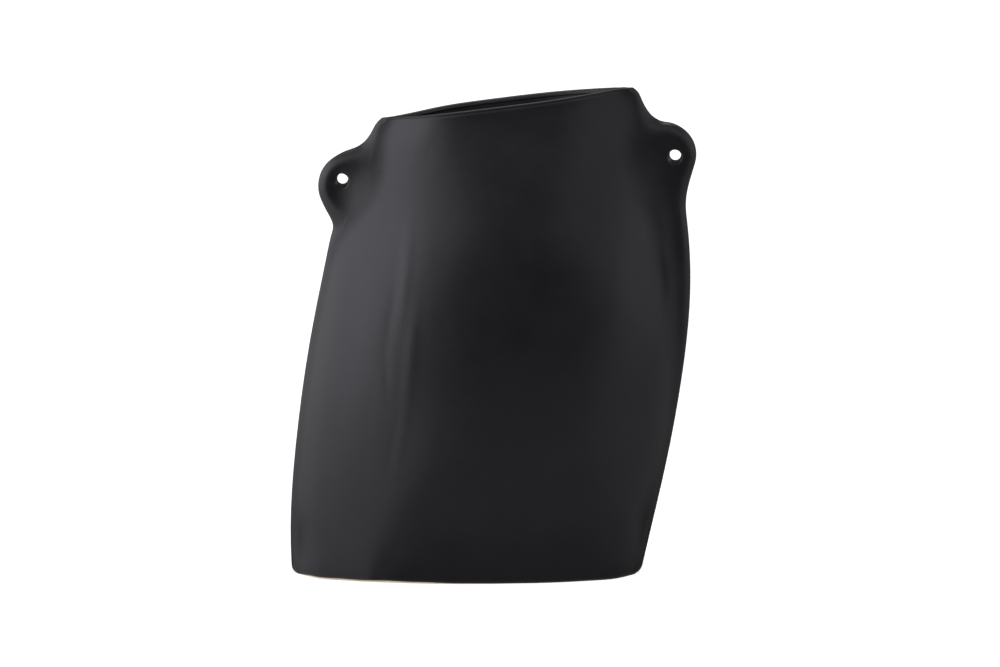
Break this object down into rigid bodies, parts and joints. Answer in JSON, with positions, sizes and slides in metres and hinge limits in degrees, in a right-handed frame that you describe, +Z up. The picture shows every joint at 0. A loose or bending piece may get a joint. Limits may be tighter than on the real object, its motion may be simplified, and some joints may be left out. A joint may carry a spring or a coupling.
{
  "type": "pillow vase",
  "caption": "Leaning slab-built stoneware pillow vase in satin black glaze, with a wide slit mouth that rises to one side, pierced ears at the shoulders and a bare foot.",
  "frame": {"origin": "middle of the flat foot, on the table", "axes": "+Z up, +X to the right along the wide side seen in the picture, +Y to the back through the thin way of the pillow"},
  "size_m": [0.2027, 0.074, 0.2493],
  "materials": {
    "black_glaze": "satin black glaze over stoneware",
    "bare_clay": "unglazed cream stoneware, wiped foot"
  },
  "bodies": {
    "root": {"front_wall": "black_glaze", "back_wall": "black_glaze", "floor_slab": "bare_clay", "left_ear": "black_glaze", "right_ear": "black_glaze", "left_seam_coil": "black_glaze", "right_seam_coil": "black_glaze", "floor_seam_coil": "black_glaze"}
  },
  "joints": []
}
